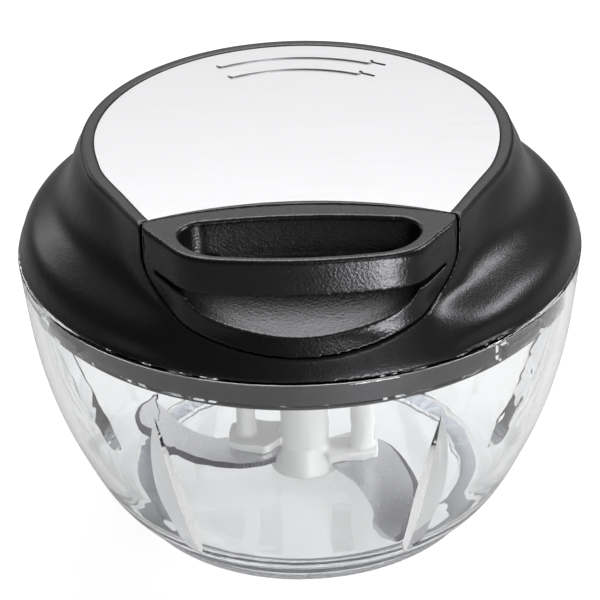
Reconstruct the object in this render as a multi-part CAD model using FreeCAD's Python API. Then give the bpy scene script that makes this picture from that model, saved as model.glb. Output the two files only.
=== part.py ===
"""Pull-cord food chopper: clear bowl, lid with a pull grip, cord reel and a two-blade insert.

Millimetres, +Z up. The origin is the centre of the foot on the surface that the chopper stands on.
The grip points towards -Y. Azimuths are measured from -Y, positive towards +X.
"""
import FreeCAD, Part
import math
import os
from FreeCAD import Vector

UP = Vector(0, 0, 1)
BACK = Vector(0, 1, 0)
ORIGIN = Vector(0, 0, 0)
JOIN = 0.5                      # how far the solids of one piece reach into each other
TOOL = 10.0                     # spare length of a cutting tool beyond what it cuts

# ---- bowl -------------------------------------------------------------------------------------
BOWL_RIM_R = 65.4               # outer radius at the rim
BOWL_RIM_Z = 68.3               # top of the rim
BOWL_WALL = 2.6                 # wall thickness, measured radially
RIM_WALL = 1.8                  # thinner wall around the lid's skirt
RIM_LEDGE_RISE = 1.5            # from the skirt's lower edge up to the ledge where the wall gets thinner
RIM_ROUND = 0.6                 # rounding of the rim's outer edge
BOWL_FLOOR = 3.8                # thickness of the floor
BASE_LIFT = 1.0                 # how far the bowl's centre disc stays off the table
FOOT_R = 42.5                   # outer radius of the foot ring
FOOT_WIDTH = 4.0                # radial width of the foot ring
FOOT_HEIGHT = 3.2               # height of the foot ring
FOOT_ROUND = 0.6
FOOT_LEDGE = 1.5                # how far the belly starts outside the foot ring
# belly: (share of the height from foot ring to rim, share of the way out to the rim radius)
BELLY_SHAPE = [(0.0, 0.0), (0.037, 0.131), (0.1045, 0.285), (0.2273, 0.47), (0.3656, 0.645), (0.519, 0.79),
               (0.688, 0.897), (0.842, 0.953), (1.0, 1.0)]
FLOOR_EDGE = 7.5                # from the foot ring's outer radius to the flat part of the inside floor
FLOOR_CURVE = 4.5               # radial length of the first, flat stretch of the floor's curve
FLOOR_CURVE_RISE = 0.5          # and its height
FLOOR_CORNER = 3.5              # height of the floor's curve
RIB_COUNT = 6
RIB_FIRST_AZ = 28.5             # azimuth of the first rib
RIB_TOP_DROP = 14.8             # from the rim to where a rib runs out of the wall
RIB_FOOT_RISE = 0.7             # from the floor to the foot of a rib's crest
RIB_FOOT_OUT = 0.5              # how far that foot lies outside the start of the belly
RIB_SLOPE = 1.3                 # half width of the V per unit of depth
RIB_DEPTH = 8.0                 # depth of the wedge that a rib is cut from
PIN_R = 2.0                     # steel pin in the bowl's floor
PIN_TOP_Z = 26.0
PIN_ROUND = 1.2
PIN_BOSS_R = 3.0
PIN_BOSS_HEIGHT = 3.2

# ---- bayonet and seal -------------------------------------------------------------------------
SKIRT_ROOM = 2.5                # radial room between the lid's skirt and the bowl at the rim
SKIRT_WALL = 2.0
SKIRT_DROP = 8.2                # from the rim down to the skirt's lower edge
LUG_COUNT = 3
LUG_FIRST_AZ = 63.0             # azimuth of the first lid lug with the lid unlocked
LUG_SPAN = 11.0                 # degrees that a lug spans
LUG_REACH = 1.5                 # how far a lid lug stands out of the skirt
LUG_HEIGHT = 1.8
LUG_LIFT = 0.3                  # from the bowl's ledge to a lid lug
LUG_GAP = 0.4                   # height between a lid lug and the bowl lug that it slides under
LOCK_TURN = 13.0                # degrees that the lid turns to lock
BOWL_LUG_HEIGHT = 1.6
BOWL_LUG_BITE = 0.8             # how far a bowl lug reaches into the wall
STOP_SPAN = 1.6                 # degrees that the bayonet's stop rib spans
STOP_FREE = 0.4                 # degrees between the stop rib and its lug
SEAL_SIDE_GAP = 0.3             # free space on each side of the seal ring
SEAL_DROP = 0.1                 # from the rim down to the seal ring
SEAL_HEIGHT = 1.0
SEAL_ROUND = 0.3

# ---- lid --------------------------------------------------------------------------------------
LID_SEAM = 0.4                  # seam between the rim and the lid
LID_HEIGHT = 26.5               # from the lid's lower edge to its ring
LID_EDGE_SETBACK = 0.2          # the lid's edge inside the rim radius
LID_TOP_R = 49.3                # radius of the round part at the top
# round part: (share of the lid's height, share of the way out from the top radius to the edge radius)
LID_SHAPE = [(0.0, 1.0), (0.113, 0.931), (0.264, 0.786), (0.415, 0.453), (0.5585, 0.27), (0.717, 0.176),
             (0.868, 0.0755), (1.0, 0.0)]
NOSE_DRAFT = [0.6, 0.55, 0.5, 0.45, 0.35, 0.25, 0.1, 0.0]   # outward draft of the nose at those heights
NOSE_CORNER = (34.5, 43.3)      # half width and reach of the corner where the flank meets the slanted side
NOSE_FRONT_CORNER = (24.2, 56.8)    # and of the corner where the slanted side meets the front
NOSE_REACH = 59.9               # from the axis to the grip's foremost line
NOSE_FRONT_R = 109.0            # radius of the front edge in plan
CORNER_POWER = 60.0             # higher makes the corners of the outline sharper
TOP_EDGE_ROUND = 0.9            # rounding of the lid's top edge
LID_WALL = 2.2
LID_TOP_WALL = 1.6              # wall under the steel plate
RING_WIDTH = 3.1                # ring that frames the steel plate
PLATE_T = 0.7
PLATE_SINK = 0.3                # plate face below the ring
PLATE_GAP = 0.2
PLATE_FRONT_RIM = 1.9           # lid between the grip's back and the plate's hollow front edge
PLATE_FRONT_R = 79.0            # radius of that edge
ARC_INSETS = [9.1, 15.5]        # from the lid's top radius to the raised arcs on the plate
ARC_WIDTH = 2.4
ARC_HALF_ANGLE = 26.0
ARC_RISE = 0.35
ARC_SLOT = (4.2, 0.9)           # length and width of the slot at the end of each arc
ARC_SLOT_PLACE = 1.2            # how far the slot's middle lies past the arc's end, in half slots

# ---- grip -------------------------------------------------------------------------------------
GRIP_SIDE_INSET = 1.0           # from the nose's corner to the grip's upright side
GRIP_LENGTH = 24.9              # from the grip's foremost line to the middle of its back
GRIP_BACK_R = 95.0              # radius of the back in plan
GRIP_SIDE_HEIGHT = 7.2          # height of the upright sides
GRIP_RISE = 5.0                 # from the lid's lower edge to the lowest point of the grip's round underside
GRIP_GAP = 0.35                 # seam between grip and lid
BAY_WALL = 1.6                  # wall of the lid's bay round the grip
COVER_T = 3.0                   # thickness of the grip's rear cover
COVER_DROP = 1.6                # from the grip's top down to the cover, which is let in from behind
BAR_T = 2.5                     # thickness of the bar in front of the fingers, at its middle
BAR_HEIGHT = 8.2
POCKET_BACK_WALL = 5.4          # from the grip's back to the finger pocket
POCKET_SIDE_WALL = 7.9          # from the grip's side to the pocket
POCKET_WAIST = 7.2              # from the pocket's back to its widest place
# corners of the pocket: distances in from its side and from its back or front
POCKET_BACK_END = (5.6, 1.5)
POCKET_BACK_ROUND = (1.1, 3.6)
POCKET_FRONT_ROUND = (2.3, 5.0)
POCKET_FRONT_END = (8.0, 1.5)
POCKET_BELOW_BAR = 1.5          # how far the pocket's straight walls reach below the bar
POCKET_BEVEL = 0.6              # bevel of the pocket's upper edge
SCOOP_LIP_HEIGHT = 3.9          # lip between the grip's lowest point and the scoop, at the middle
SCOOP_RISE = 3.0                # how much higher the scoop's floor is at its back
SCOOP_INSET = 8.3               # from the grip's side to the scoop's edge at the front
SCOOP_BACK_INSET = 8.5          # and at the back
SCOOP_BACK_WALL = 6.5           # from the grip's back to the scoop
SCOOP_TIP_INSET = 1.7           # from the grip's side to the shallow tips beside the deep middle
SCOOP_TIP_DEPTH = 2.4           # height of the tips' outline below the bar
SCOOP_TIP_SINK = 2.2            # how far the tips go in from the outer face
SCOOP_TIP_WALL = 1.0            # grip between the tips and the rear cover
HANDLE_SCREW_INSET = 5.0        # from the grip's side to the screws of its rear cover
HANDLE_SCREW_DROP = 4.7         # from the grip's top to these screws
HANDLE_SCREW_SINK = 1.8         # how deep their heads sit in the cover
HANDLE_SCREW_LENGTH = 3.6
HANDLE_HEAD_R = 2.0
HANDLE_HEAD_T = 1.0

# ---- cord and reel ----------------------------------------------------------------------------
CORD_R = 0.9
CORD_RISE = 3.3                 # from the grip's lowest point to the cord
CORD_CLEAR = 0.3                # between the cord that moves and the cord on the reel
CORD_FIT = 0.2                  # radial clearance of the cord in the grip
CORD_PITCH = 1.9                # radial distance from turn to turn
CORD_HALF_TURNS = 5
WINDING_INSET = 1.85            # from the flange's edge to the last turn's centre line
RUN_CLEAR = 0.25                # from the flange's edge to the free run of cord
EYELET_HOLE_R = 1.25
EYELET_R = 2.6
EYELET_FLANGE_R = 4.0
EYELET_FLANGE_T = 0.8
KNOT_R = 1.9
KNOT_CLEAR = 0.6
FLANGE_CLEAR = 2.75             # from the eyelet to the reel's flanges
GROOVE_SIDE = 0.5               # free height above and below the cord in the reel's groove
REEL_FLANGE_T = 2.0
CUP_INSET = 2.1                 # from the flange's edge to the spring cup
CUP_WALL = 1.8
SPRING_CLEAR = 0.6              # above and below the spring
SPRING_STRIP = 0.45             # thickness of the spring's strip
SPRING_TURNS = 9
SPRING_CORE_GAP = 0.9           # from the axle to the first turn
SPRING_CUP_GAP = 0.5            # from the last turn to the cup
COVER_DISC_T = 1.2
COVER_HOLE_R = 5.4
COVER_ROOM = 1.2                # from the spring cover to the boss that holds the axle
AXLE_R = 3.0
AXLE_BOSS_R = 4.6
AXLE_BOSS_HEIGHT = 2.0
AXLE_BLIND = 0.6                # lid above the axle
AXLE_END = 0.6                  # axle below the clip
RUN_FIT = 0.05                  # radial clearance of a running fit
WASHER_R = 5.0
WASHER_T = 0.5
WASHER_GAP = 0.2
CLIP_T = 0.6
CLIP_GROOVE = 0.5
CLIP_MOUTH_LIP = 0.3

# ---- drive and screws -------------------------------------------------------------------------
SOCKET_R = 9.2
SOCKET_BORE_R = 6.4
SOCKET_DROP = 7.7               # from the rim down to the socket's lower end
SOCKET_FLANGE_R = 13.5
SOCKET_FLANGE_T = 1.6
SOCKET_SCREW_CIRCLE_R = 11.5
SOCKET_SCREW_AZ = [60.0, 180.0, 300.0]
DOG_COUNT = 3
DOG_SPAN = 28.0                 # degrees
DOG_INNER_R = 4.6
DOG_HEIGHT = 5.6
BASE_RISE = 0.5                 # from the lid's lower edge to the underside of the lid base
BASE_T = 1.8
BASE_GAP = 1.6                  # from the lid's inner wall to the base's edge
BUSH_R = 11.2
BUSH_COLLAR = 1.6
BUSH_COLLAR_T = 1.0
LID_SCREW_R = 1.5
LID_SCREW_HEAD_R = 2.8
LID_SCREW_HEAD_T = 1.4
LID_SCREW_LENGTH = 10.0
LID_SCREW_INSET = 1.1           # from the lid's inner wall at the top to the circle of screws
LID_SCREW_AZ = [78.0, 138.0, 222.0, 282.0]
BOSS_WALL = 2.1
SMALL_SCREW_R = 1.0
SMALL_HEAD_R = 1.6
SMALL_HEAD_T = 0.5
SMALL_SCREW_BITE = 3.0          # how far a small screw reaches into its piece
SMALL_HOLE_DEPTH = 4.0
CROSS_WIDTH = 0.7               # slots of the cross recess in a screw head
CROSS_SHARE = 1.3               # their length in head radii

# ---- blades -----------------------------------------------------------------------------------
SHAFT_R = 5.9
SHAFT_GAP = 0.6                 # between the shaft's shoulder and the socket
FLOOR_GAP = 0.5                 # between the shaft's foot and the bowl's floor
SPLINE_ROOT_R = 4.2
SPLINE_HEIGHT = 6.4
FOOT_FLARE = 2.6                # how much wider the shaft's foot is
FOOT_FLARE_HEIGHT = 6.5
BUSH_FIT_R = 3.5
BUSH_LIFT = 4.2                 # from the bowl's floor to the bush in the shaft
BUSH_CAP_T = 1.4
BUSH_CAP_GAP = 0.3              # above the steel pin, and above the bush
ARM_REACH = 14.1                # from the axis to the middle of an arm's end
ARM_WIDTH = 7.0
ARM_END = 8.6
ARM_END_ROUND = 2.4
# plan of the lower arms, which point along +X and start inside the shaft
SHORT_ARM = [(3.5, -3.5), (5.5, -5.8), (14.1, -4.6), (17.8, -3.4), (17.8, 3.6), (4.0, 3.0)]
LONG_ARM = [(2.5, -4.0), (12.5, -6.3), (17.8, -4.2), (18.6, 3.7), (9.8, 6.8), (3.5, 0.5)]
LOWER_ARM_ROUND = 1.0           # rounding of these arms' corners
ARM_T = 2.4
UPPER_ARM_RISE = 6.9            # from the floor to the arm that carries the long blade
LOWER_ARM_RISE = 2.9            # from the floor to the arm that carries the short blade
WEB_RISE = 29.2                 # from the floor to the upper arms
WEB_T = 2.4
LONG_POST_R = 2.2
SHORT_POST_R = 2.9
BLADE_T = 1.0
BLADE_CLEAR = 0.9               # from the longest blade's tip to the crests of the bowl's ribs
# blade outlines in shares of the longest reach, with the arm of each blade along +X
SHORT_EDGE = [(0.252, 0.188), (0.372, 0.153), (0.47, 0.066), (0.547, -0.098), (0.591, -0.306),
              (0.556, -0.558), (0.455, -0.761)]
SHORT_BACK = [(0.337, -0.67), (0.346, -0.547), (0.319, -0.416), (0.267, -0.284), (0.188, -0.175)]
SHORT_ROOT = [(0.109, -0.088), (0.131, 0.131)]
LONG_EDGE = [(0.153, 0.193), (0.35, 0.245), (0.547, 0.201), (0.7, 0.105), (0.842, -0.044), (0.937, -0.252),
             (0.928, -0.372)]
LONG_BACK = [(0.84, -0.525), (0.796, -0.383), (0.709, -0.21), (0.578, -0.079), (0.416, -0.026)]
LONG_ROOT = [(0.219, -0.079), (0.088, -0.066)]

# ---- places that follow from the sizes above --------------------------------------------------
SPACE = 4.0 * BOWL_RIM_R        # side of boxes that divide solids
FLOOR_Z = BASE_LIFT + BOWL_FLOOR
FOOT_INNER_R = FOOT_R - FOOT_WIDTH
BELLY_START_R = FOOT_R + FOOT_LEDGE
RIB_TOP_Z = BOWL_RIM_Z - RIB_TOP_DROP
RIB_FOOT_Z = FLOOR_Z + RIB_FOOT_RISE
RIB_FOOT_R = BELLY_START_R + RIB_FOOT_OUT

SKIRT_R = BOWL_RIM_R - RIM_WALL - SKIRT_ROOM
SKIRT_BOTTOM_Z = BOWL_RIM_Z - SKIRT_DROP
RIM_LEDGE_Z = SKIRT_BOTTOM_Z + RIM_LEDGE_RISE
LID_LUG_Z = RIM_LEDGE_Z + LUG_LIFT
LID_LUG_TOP = LID_LUG_Z + LUG_HEIGHT
BOWL_LUG_Z = LID_LUG_TOP + LUG_GAP
BOWL_LUG_TOP = BOWL_LUG_Z + BOWL_LUG_HEIGHT
SEAL_TOP_Z = BOWL_RIM_Z - SEAL_DROP
SEAL_Z = SEAL_TOP_Z - SEAL_HEIGHT

LID_EDGE_Z = BOWL_RIM_Z + LID_SEAM
LID_EDGE_R = BOWL_RIM_R - LID_EDGE_SETBACK
LID_TOP_Z = LID_EDGE_Z + LID_HEIGHT
PLATE_Z = LID_TOP_Z - PLATE_SINK - PLATE_T
LID_CEILING_Z = PLATE_Z - LID_TOP_WALL
BASE_Z = LID_EDGE_Z + BASE_RISE
BASE_TOP_Z = BASE_Z + BASE_T
BASE_R = LID_EDGE_R - LID_WALL - BASE_GAP
LID_SCREW_CIRCLE_R = LID_TOP_R - LID_WALL - LID_SCREW_INSET

NOSE_FRONT_Y = -NOSE_REACH
GRIP_HALF_W = NOSE_CORNER[0] - GRIP_SIDE_INSET
GRIP_BACK_Y = NOSE_FRONT_Y + GRIP_LENGTH
GRIP_LOW_Z = LID_EDGE_Z + GRIP_RISE
GRIP_AXIS_Z = LID_TOP_Z - GRIP_SIDE_HEIGHT
BAR_LOWER_Z = LID_TOP_Z - BAR_HEIGHT
COVER_FRONT_Y = GRIP_BACK_Y - COVER_T
POCKET_BACK_Y = GRIP_BACK_Y - POCKET_BACK_WALL
POCKET_FRONT_Y = NOSE_FRONT_Y + BAR_T
POCKET_HALF_W = GRIP_HALF_W - POCKET_SIDE_WALL
SCOOP_LIP_Z = GRIP_LOW_Z + SCOOP_LIP_HEIGHT
SCOOP_BACK_Y = GRIP_BACK_Y - SCOOP_BACK_WALL
TOOL_FRONT_Y = -max(NOSE_REACH, LID_EDGE_R) - TOOL
HANDLE_SCREW_X = GRIP_HALF_W - HANDLE_SCREW_INSET
HANDLE_SCREW_Z = LID_TOP_Z - HANDLE_SCREW_DROP

CORD_Z = GRIP_LOW_Z + CORD_RISE
BAY_FRONT_Y = GRIP_BACK_Y + GRIP_GAP
BAY_BACK_Y = BAY_FRONT_Y + BAY_WALL
CORD_MOUTH_Y = BAY_BACK_Y + EYELET_FLANGE_T
FLANGE_R = -CORD_MOUTH_Y - FLANGE_CLEAR
LAST_TURN_R = FLANGE_R - WINDING_INSET
FIRST_TURN_R = LAST_TURN_R - CORD_HALF_TURNS * CORD_PITCH / 2.0
DRUM_R = FIRST_TURN_R - CORD_R
CUP_R = FLANGE_R - CUP_INSET
GROOVE_LOW_Z = CORD_Z - CORD_R - GROOVE_SIDE
GROOVE_TOP_Z = CORD_Z + CORD_R + GROOVE_SIDE
REEL_BOTTOM_Z = GROOVE_LOW_Z - REEL_FLANGE_T
CUP_FLOOR_Z = GROOVE_TOP_Z + REEL_FLANGE_T
AXLE_BOSS_Z = LID_CEILING_Z - AXLE_BOSS_HEIGHT
SPRING_BOTTOM_Z = CUP_FLOOR_Z + SPRING_CLEAR
CUP_TOP_Z = AXLE_BOSS_Z - COVER_ROOM - COVER_DISC_T
SPRING_HEIGHT = CUP_TOP_Z - SPRING_CLEAR - SPRING_BOTTOM_Z
AXLE_TOP_Z = PLATE_Z - AXLE_BLIND
WASHER_Z = REEL_BOTTOM_Z - WASHER_GAP - WASHER_T
CLIP_Z = WASHER_Z - CLIP_T
AXLE_BOTTOM_Z = CLIP_Z - AXLE_END
SOCKET_BOTTOM_Z = BOWL_RIM_Z - SOCKET_DROP
SOCKET_FLANGE_Z = REEL_BOTTOM_Z - SOCKET_FLANGE_T

SHAFT_TOP_Z = SOCKET_BOTTOM_Z - SHAFT_GAP
SHAFT_FOOT_Z = FLOOR_Z + FLOOR_GAP
SPLINE_TOP_Z = SHAFT_TOP_Z + SPLINE_HEIGHT
BUSH_BOTTOM_Z = FLOOR_Z + BUSH_LIFT
BUSH_TOP_Z = PIN_TOP_Z + BUSH_CAP_GAP + BUSH_CAP_T
UPPER_ARM_Z = FLOOR_Z + UPPER_ARM_RISE
LOWER_ARM_Z = FLOOR_Z + LOWER_ARM_RISE
WEB_Z = FLOOR_Z + WEB_RISE


# ---- small helpers ----------------------------------------------------------------------------
def cylinder(radius, z0, z1, x=0.0, y=0.0):
    return Part.makeCylinder(radius, z1 - z0, Vector(x, y, z0), UP)


def rod(radius, y0, y1, x, z):
    """Cylinder along Y."""
    return Part.makeCylinder(radius, y1 - y0, Vector(x, y0, z), BACK)


def tube(outer, inner, z0, z1):
    return cylinder(outer, z0, z1).cut(cylinder(inner, z0 - TOOL, z1 + TOOL))


def box(width, y0, y1, z0, z1):
    """Box centred on X = 0."""
    return Part.makeBox(width, y1 - y0, z1 - z0, Vector(-width / 2.0, y0, z0))


def slab(z0, z1):
    """Everything between two heights."""
    return box(SPACE, -SPACE / 2.0, SPACE / 2.0, z0, z1)


def polar(radius, azimuth, z=0.0):
    """Point at an azimuth measured from -Y towards +X."""
    angle = math.radians(azimuth)
    return Vector(radius * math.sin(angle), -radius * math.cos(angle), z)


def turned(shape, degrees):
    copy = shape.copy()
    copy.rotate(ORIGIN, UP, degrees)
    return copy


def sector(outer, inner, z0, z1, azimuth, span):
    """Part of a tube, span degrees wide and centred on an azimuth."""
    pie = Part.makeCylinder(outer, z1 - z0, Vector(0, 0, z0), UP, span)
    pie = pie.cut(cylinder(inner, z0 - TOOL, z1 + TOOL))
    return turned(pie, azimuth - 90.0 - span / 2.0)


def spline(points):
    curve = Part.BSplineCurve()
    curve.interpolate(points)
    return curve.toShape()


def arc(start, middle, end):
    return Part.Arc(start, middle, end).toShape()


def line(start, end):
    return Part.makeLine(start, end)


def half_ellipse_wire(y, half_w, top_z, low_z):
    """Lower half of an ellipse that hangs from a straight top."""
    right = Vector(half_w, y, top_z)
    left = Vector(-half_w, y, top_z)
    ellipse = Part.Ellipse(right, Vector(0, y, low_z), Vector(0, y, top_z))
    return Part.Wire([Part.ArcOfEllipse(ellipse, 0.0, math.pi).toShape(), line(left, right)])


def behind_arc(edge_y, radius, z0, z1):
    """Cylinder on the -Y side whose rim passes through (0, edge_y) and bulges towards +Y."""
    return Part.makeCylinder(radius, z1 - z0, Vector(0, edge_y - radius, z0), UP)


def fused(shapes):
    first = shapes[0]
    return first.fuse(shapes[1:]).removeSplitter() if len(shapes) > 1 else first


def write(node, shape):
    if len(shape.Solids) == 1:
        shape = shape.Solids[0]
    shape.exportStep("parts/" + node + ".step")
    print(node, "solids", len(shape.Solids), "valid", shape.isValid(), "volume", round(shape.Volume, 1))


# ---- bowl -------------------------------------------------------------------------------------
def belly_points(inset=0.0):
    """Points of the bowl's wall in the XZ plane, moved inwards by inset."""
    height = BOWL_RIM_Z - FOOT_HEIGHT
    swell = BOWL_RIM_R - BELLY_START_R
    start = BELLY_START_R - inset
    return [Vector(start + out * swell, 0, FOOT_HEIGHT + up * height) for up, out in BELLY_SHAPE]


def bowl_inner_radius(z):
    points = belly_points(BOWL_WALL if z < RIM_LEDGE_Z else RIM_WALL)
    for low, high in zip(points, points[1:]):
        if low.z <= z <= high.z:
            return low.x + (high.x - low.x) * (z - low.z) / (high.z - low.z)
    return points[-1].x


def revolve_profile(points, foot_z):
    """Solid of revolution between the axis and a smooth curve that ends at the rim's height."""
    foot = Vector(0, 0, foot_z)
    top = Vector(0, 0, BOWL_RIM_Z)
    wire = Part.Wire([line(foot, points[0]), spline(points), line(points[-1], top), line(top, foot)])
    return Part.Face(wire).revolve(ORIGIN, UP, 360)


def bowl_cavity(shift=0.0):
    """Space inside the bowl; a positive shift makes it larger."""
    floor_z = FLOOR_Z - shift
    flat_r = FOOT_R - FLOOR_EDGE
    wall = [p for p in belly_points(BOWL_WALL - shift) if p.z > floor_z + FLOOR_CORNER]
    points = [Vector(flat_r, 0, floor_z), Vector(flat_r + FLOOR_CURVE, 0, floor_z + FLOOR_CURVE_RISE)] + wall
    return revolve_profile(points, floor_z)


def rib_crest_radius(z):
    """Radius of the ribs' straight crests."""
    top_r = bowl_inner_radius(RIB_TOP_Z)
    return RIB_FOOT_R + (top_r - RIB_FOOT_R) * (z - RIB_FOOT_Z) / (RIB_TOP_Z - RIB_FOOT_Z)


def rib_wedge():
    """V-shaped prism along the straight crest of a rib in the XZ plane; its open side faces outwards."""
    foot = Vector(rib_crest_radius(FOOT_HEIGHT), 0, FOOT_HEIGHT)
    run = Vector(rib_crest_radius(BOWL_RIM_Z), 0, BOWL_RIM_Z) - foot
    out = Vector(run.z, 0, -run.x)
    out.normalize()
    back = foot + out * RIB_DEPTH
    side = Vector(0, RIB_SLOPE * RIB_DEPTH, 0)
    face = Part.Face(Part.makePolygon([foot, back + side, back - side, foot]))
    return face.extrude(run)


def bowl_lugs():
    """Inward lugs that hold the turned lid down, each with a stop rib at its far end."""
    lugs = []
    inner = SKIRT_R + SEAL_SIDE_GAP
    outer = bowl_inner_radius(BOWL_LUG_Z) + BOWL_LUG_BITE
    for index in range(LUG_COUNT):
        azimuth = LUG_FIRST_AZ - LOCK_TURN + index * 360.0 / LUG_COUNT
        lugs.append(sector(outer, inner, BOWL_LUG_Z, BOWL_LUG_TOP, azimuth, LUG_SPAN))
        stop = azimuth - LUG_SPAN / 2.0 - STOP_SPAN / 2.0 - STOP_FREE
        lugs.append(sector(outer, inner, RIM_LEDGE_Z, BOWL_LUG_TOP, stop, STOP_SPAN))
    return lugs


def rounded_outside():
    """The bowl's outer form without its base, with a rounded rim."""
    solid = revolve_profile(belly_points(), FOOT_HEIGHT)
    rim = [edge for edge in solid.Edges if edge.BoundBox.ZMin > BOWL_RIM_Z - RIM_ROUND and edge.Closed]
    return solid.makeFillet(RIM_ROUND, rim)


def make_bowl():
    """The bowl is its outer form less a cavity from which ribs, lugs and pin boss are left standing."""
    rib = rib_wedge().common(bowl_cavity(BOWL_WALL / 2.0)).Solids[0]
    azimuths = [RIB_FIRST_AZ + index * 360.0 / RIB_COUNT for index in range(RIB_COUNT)]
    ribs = [turned(rib, azimuth - 90.0) for azimuth in azimuths]
    boss = cylinder(PIN_BOSS_R, FLOOR_Z - JOIN, FLOOR_Z + PIN_BOSS_HEIGHT)
    disc = cylinder(FOOT_INNER_R, BASE_LIFT, FLOOR_Z - JOIN)
    mouth = revolve_profile(belly_points(RIM_WALL), FOOT_HEIGHT).common(slab(RIM_LEDGE_Z, BOWL_RIM_Z))
    cavity = bowl_cavity().fuse(mouth).cut(ribs + bowl_lugs() + [boss])
    body = rounded_outside().fuse(disc).cut(cavity)
    return body.cut(cylinder(PIN_R, FOOT_HEIGHT, PIN_TOP_Z))


def make_foot_ring():
    ring = tube(FOOT_R, FOOT_INNER_R, 0.0, FOOT_HEIGHT)
    rim = [edge for edge in ring.Edges if edge.BoundBox.ZMax < FOOT_HEIGHT / 2.0]
    return ring.makeFillet(FOOT_ROUND, rim)


def make_bowl_pin():
    pin = cylinder(PIN_R, FOOT_HEIGHT, PIN_TOP_Z)
    tip = [edge for edge in pin.Edges if edge.BoundBox.ZMin > PIN_TOP_Z - PIN_R]
    return pin.makeFillet(PIN_ROUND, tip)


# ---- lid --------------------------------------------------------------------------------------
OUTLINE_AZ = [a for a in range(-72, 73, 6)] + [a for a in range(84, 277, 12)]


def smooth_extreme(values, power):
    return sum(v ** power for v in values) ** (1.0 / power)


def line_radius(azimuth, first, second):
    """Radius at which a ray at this azimuth meets the line through two points (across, forward)."""
    angle = math.radians(azimuth)
    ray = (math.sin(angle), math.cos(angle))
    along = (second[0] - first[0], second[1] - first[1])
    cross = ray[0] * along[1] - ray[1] * along[0]
    return (first[0] * along[1] - first[1] * along[0]) / cross


def flank_azimuth():
    """Azimuth where the nose's flat flank, which ends at its corner, leaves the round part."""
    reach = math.hypot(NOSE_CORNER[0], NOSE_CORNER[1])
    corner = math.degrees(math.atan2(NOSE_CORNER[0], NOSE_CORNER[1]))
    return corner + math.degrees(math.acos(LID_TOP_R / reach))


def nose_radius(azimuth):
    """Plan outline of the nose at the top, for azimuths from 0 to 90."""
    tangent = flank_azimuth()
    if azimuth >= tangent:
        return LID_TOP_R * math.cos(math.radians(azimuth - tangent)) ** 2
    angle = math.radians(azimuth)
    centre = NOSE_FRONT_R - NOSE_REACH
    front = -centre * math.cos(angle) + math.sqrt(NOSE_FRONT_R ** 2 - (centre * math.sin(angle)) ** 2)
    flank = LID_TOP_R / math.cos(math.radians(tangent - azimuth))
    limits = [front, flank]
    side = line_radius(azimuth, NOSE_CORNER, NOSE_FRONT_CORNER)
    if side > 0.0:
        limits.append(side)
    return smooth_extreme(limits, -CORNER_POWER)


def outline_radius(azimuth, round_r, draft):
    """Plan radius of the lid where its round part has round_r and the nose leans out by draft."""
    away = abs((azimuth + 180.0) % 360.0 - 180.0)
    if away >= 90.0:
        return round_r
    return smooth_extreme([round_r, nose_radius(away) + draft], CORNER_POWER)


def outline(z, round_r, draft, inset=0.0):
    points = [polar(outline_radius(a, round_r, draft) - inset, a, z) for a in OUTLINE_AZ]
    curve = Part.BSplineCurve()
    curve.interpolate(points, PeriodicFlag=True)
    return Part.Wire(curve.toShape())


def top_outline(z, inset=0.0):
    return outline(z, LID_TOP_R, NOSE_DRAFT[-1], inset)


def envelope(inset=0.0):
    """Solid inside the lid's outer skin up to the start of its rounded top edge."""
    sections = []
    for (up, out), draft in zip(LID_SHAPE, NOSE_DRAFT):
        z = min(LID_EDGE_Z + up * LID_HEIGHT, LID_TOP_Z - TOP_EDGE_ROUND)
        sections.append(outline(z, LID_TOP_R + out * (LID_EDGE_R - LID_TOP_R), draft, inset))
    return Part.makeLoft(sections, True, False)


def rounded_envelope():
    levels = []
    for degrees in (0.0, 30.0, 60.0, 90.0):
        angle = math.radians(degrees)
        z = LID_TOP_Z - TOP_EDGE_ROUND * (1.0 - math.sin(angle))
        levels.append(top_outline(z, TOP_EDGE_ROUND * (1.0 - math.cos(angle))))
    return envelope().fuse(Part.makeLoft(levels, True, False))


def lid_hollow():
    """Space under the lid's ceiling, open downwards."""
    upper = envelope(LID_WALL)
    mouth = Part.Face(outline(LID_EDGE_Z, LID_EDGE_R, NOSE_DRAFT[0], LID_WALL))
    return upper.fuse(mouth.extrude(Vector(0, 0, -TOOL))).common(slab(LID_EDGE_Z - TOOL, LID_CEILING_Z))


def grip_region(grow=0.0):
    """Block that the grip fills: upright sides, half-round underside and an arched back."""
    half_w = GRIP_HALF_W + grow
    length = Vector(0, GRIP_BACK_Y + TOOL - TOOL_FRONT_Y, 0)
    under = Part.Face(half_ellipse_wire(TOOL_FRONT_Y, half_w, GRIP_AXIS_Z, GRIP_LOW_Z - grow)).extrude(length)
    upright = box(2.0 * half_w, TOOL_FRONT_Y, TOOL_FRONT_Y + length.y, GRIP_AXIS_Z, LID_TOP_Z + TOOL)
    back = behind_arc(GRIP_BACK_Y + grow, GRIP_BACK_R + grow, GRIP_LOW_Z - TOOL, LID_TOP_Z + 2.0 * TOOL)
    return fused([under, upright]).common(back)


def plate_region(inset, z0, z1):
    """Block inside the ring; its front edge stays parallel when the inset grows."""
    block = Part.Face(top_outline(z0, inset)).extrude(Vector(0, 0, z1 - z0))
    shrink = inset - RING_WIDTH
    front = behind_arc(GRIP_BACK_Y + PLATE_FRONT_RIM + shrink, PLATE_FRONT_R + shrink, z0 - TOOL, z1 + TOOL)
    return block.cut(front)


def lid_screw_columns(radius, z0, z1):
    spots = [polar(LID_SCREW_CIRCLE_R, azimuth) for azimuth in LID_SCREW_AZ]
    return [cylinder(radius, z0, z1, spot.x, spot.y) for spot in spots]


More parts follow.
